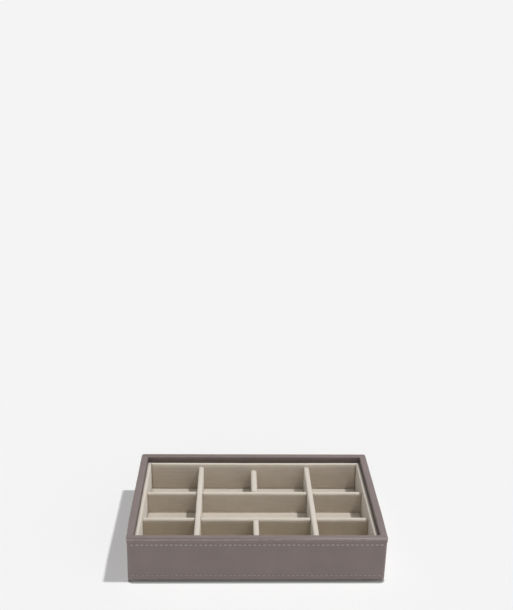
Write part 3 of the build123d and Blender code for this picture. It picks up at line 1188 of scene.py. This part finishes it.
lamp_place = Vector((0.828, -0.103, 1.9))
lamp_radius = 0.060
lamp_level = 0.53
zenith_level = 0.40
front_glow = 0.84
# What an open level surface gets from the sky below
sky_level = zenith_level + front_glow / 12
ground_tone = 0.905
# The power that gives the lamp its level on the ground at the tray
lamp_power = lamp_level * 4 * math.pi**2 * lamp_place.length**3 / lamp_place.z
ground_reach = 6.0
# Painted shade on the ground below the tray's edge: its outline, and how dark it is there and further out
shade_round = 4.0 * MM
shade_core = (wrap_high.x - 0.6 * MM - shade_round, wrap_high.y + 1.12 * MM - shade_round, 0.0)
shade_start, shade_end = 0.2 * MM, 2.8 * MM
shade_inside, shade_edge = 0.94, 0.48
# Where the ground passes into its plain far tone
far_start, far_end = 0.18, 0.34
# The camera that was fitted to the photograph, in degrees and metres
camera_pitch, camera_yaw, camera_roll = 18.109, 1.500, 0.815
camera_place = (-17.564 * MM, -623.744 * MM, 387.661 * MM)
camera_lens = 55.155


def make_world():
    """A soft sky, brighter low down in front. The camera and reflections see the pale ground's own tone."""
    world = bpy.data.worlds.new("studio")
    bpy.context.scene.world = world
    world.use_nodes = True
    tree = world.node_tree
    tree.nodes.clear()
    way = add(tree, "ShaderNodeTexCoord").outputs["Generated"]
    parts = add(tree, "ShaderNodeSeparateXYZ", {0: way}).outputs
    low = math_node(tree, "SUBTRACT", 1.0, math_node(tree, "MAXIMUM", parts["Z"], 0.0))
    in_front = math_node(tree, "MULTIPLY_ADD", parts["Y"], -0.5, 0.5)
    glow = times(tree, times(tree, low, low), in_front)
    strength = math_node(tree, "MULTIPLY_ADD", glow, front_glow, zenith_level)
    sky = add(tree, "ShaderNodeBackground", {"Color": WHITE, "Strength": strength}).outputs[0]
    backdrop = add(tree, "ShaderNodeBackground", {"Color": WHITE, "Strength": ground_tone}).outputs[0]
    mixed = add(tree, "ShaderNodeMixShader", {0: seen_directly(tree), 1: sky, 2: backdrop})
    add(tree, "ShaderNodeOutputWorld", {"Surface": mixed.outputs[0]})


def lamp_evening(tree, place):
    """The ground's tone that makes up for the lamp's falling off away from the tray."""
    to_lamp = vector_node(tree, "SUBTRACT", tuple(lamp_place), place)
    distance = vector_node(tree, "LENGTH", to_lamp)
    lamp_share = lamp_level * lamp_place.length**3
    from_lamp = math_node(tree, "DIVIDE", lamp_share, math_node(tree, "POWER", distance, 3.0))
    level = math_node(tree, "ADD", from_lamp, sky_level)
    return math_node(tree, "MINIMUM", math_node(tree, "DIVIDE", ground_tone, level), 1.0)


def make_ground():
    """A pale ground, evened out where the lamp falls off and beside the tray, that keeps its shadow and has
    painted shade right below the tray's edge.
    """
    mesh = bpy.data.meshes.new("ground")
    corners = [(ground_reach * x, ground_reach * y, 0) for x, y in ((-1, -1), (1, -1), (1, 1), (-1, 1))]
    mesh.from_pydata(corners, [], [(0, 1, 2, 3)])
    ground = put_in_scene("ground", mesh)
    finish = bpy.data.materials.new("pale_ground")
    finish.use_nodes = True
    tree = finish.node_tree
    tree.nodes.clear()
    place = add(tree, "ShaderNodeTexCoord").outputs["Object"]
    # Painted shade: right below the tray's edge the ground's tone is darkened
    over = vector_node(tree, "SUBTRACT", vector_node(tree, "ABSOLUTE", place), shade_core)
    off = vector_node(tree, "LENGTH", vector_node(tree, "MAXIMUM", over, (0.0, 0.0, 0.0)))
    clear = math_node(tree, "GREATER_THAN", off, shade_round)
    deep = ramp(tree, off, shade_start, shade_end, shade_inside, shade_edge)
    tone = times(tree, lamp_evening(tree, place), math_node(tree, "MAXIMUM", clear, deep))
    grey = add(tree, "ShaderNodeCombineColor", {0: tone, 1: tone, 2: tone}).outputs[0]
    matt = add(tree, "ShaderNodeBsdfDiffuse", {"Color": grey}).outputs[0]
    # What the tray takes from the sky is given back to the eye, less of it inside the cast shadow
    open_sky = add(tree, "ShaderNodeAmbientOcclusion", {"Distance": 1.0}, samples=24).outputs["AO"]
    taken = math_node(tree, "SUBTRACT", 1.0, open_sky)
    across = add(tree, "ShaderNodeSeparateXYZ", {0: place}).outputs["X"]
    side = ramp(tree, across, -0.1, -wrap_high.x + 0.004, 0.6, 0.74, smooth=True)
    given_back = times(tree, times(tree, taken, side), clear)
    strength = times(tree, given_back, sky_level * ground_tone)
    lift = add(tree, "ShaderNodeEmission", {"Color": WHITE, "Strength": strength}).outputs[0]
    evened = add(tree, "ShaderNodeAddShader", {0: matt, 1: lift}).outputs[0]
    plain = add(tree, "ShaderNodeEmission", {"Color": WHITE, "Strength": ground_tone}).outputs[0]
    seen = seen_directly(tree)
    near_eye = add(tree, "ShaderNodeMixShader", {0: seen, 1: matt, 2: evened}).outputs[0]
    far = ramp(tree, vector_node(tree, "LENGTH", place), far_start, far_end, smooth=True)
    seen_far = times(tree, seen, far)
    mixed = add(tree, "ShaderNodeMixShader", {0: seen_far, 1: near_eye, 2: plain})
    add(tree, "ShaderNodeOutputMaterial", {"Surface": mixed.outputs[0]})
    mesh.materials.append(finish)


def make_lamp():
    """One small bright lamp, high on the right."""
    data = bpy.data.lights.new("key", "POINT")
    data.energy = lamp_power
    data.shadow_soft_size = lamp_radius
    put_in_scene("key", data).location = lamp_place


def make_camera():
    """The photograph's camera."""
    pitch, yaw, roll = (math.radians(angle) for angle in (camera_pitch, camera_yaw, camera_roll))
    data = bpy.data.cameras.new("camera")
    data.lens = camera_lens
    camera = put_in_scene("camera", data)
    ahead = Vector((math.sin(yaw) * math.cos(pitch), math.cos(yaw) * math.cos(pitch), -math.sin(pitch)))
    level = Vector((math.cos(yaw), -math.sin(yaw), 0.0))
    upward = level.cross(ahead)
    right = math.cos(roll) * level + math.sin(roll) * upward
    top = math.cos(roll) * upward - math.sin(roll) * level
    turned = Matrix((right, top, -ahead)).transposed().to_4x4()
    camera.matrix_world = Matrix.Translation(camera_place) @ turned
    bpy.context.scene.camera = camera


def main():
    """Dresses the tray and sets the scene."""
    sewing = make_stitch_tree()
    pieces = [make_outer_cover(), make_foot_cover(), make_felt()]
    pieces += make_divider_covers()
    pieces += make_lining_covers()
    pieces += make_floor_pad()
    for name, node, level, proud, darker_thread, seed in (
        ("top_stitches", "top_stitching", seam_levels[0], 0.24 * MM, 0.0, 4),
        ("bottom_stitches", "bottom_stitching", seam_levels[1], 0.02 * MM, 0.75, 9),
    ):
        pieces.append(make_stitching(name, node, level, proud, darker_thread, seed, sewing))
    for piece in pieces:
        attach(piece, "root")
    dress_boards()
    make_world()
    make_ground()
    make_lamp()
    make_camera()
    bpy.context.scene.view_settings.view_transform = "Standard"


main()
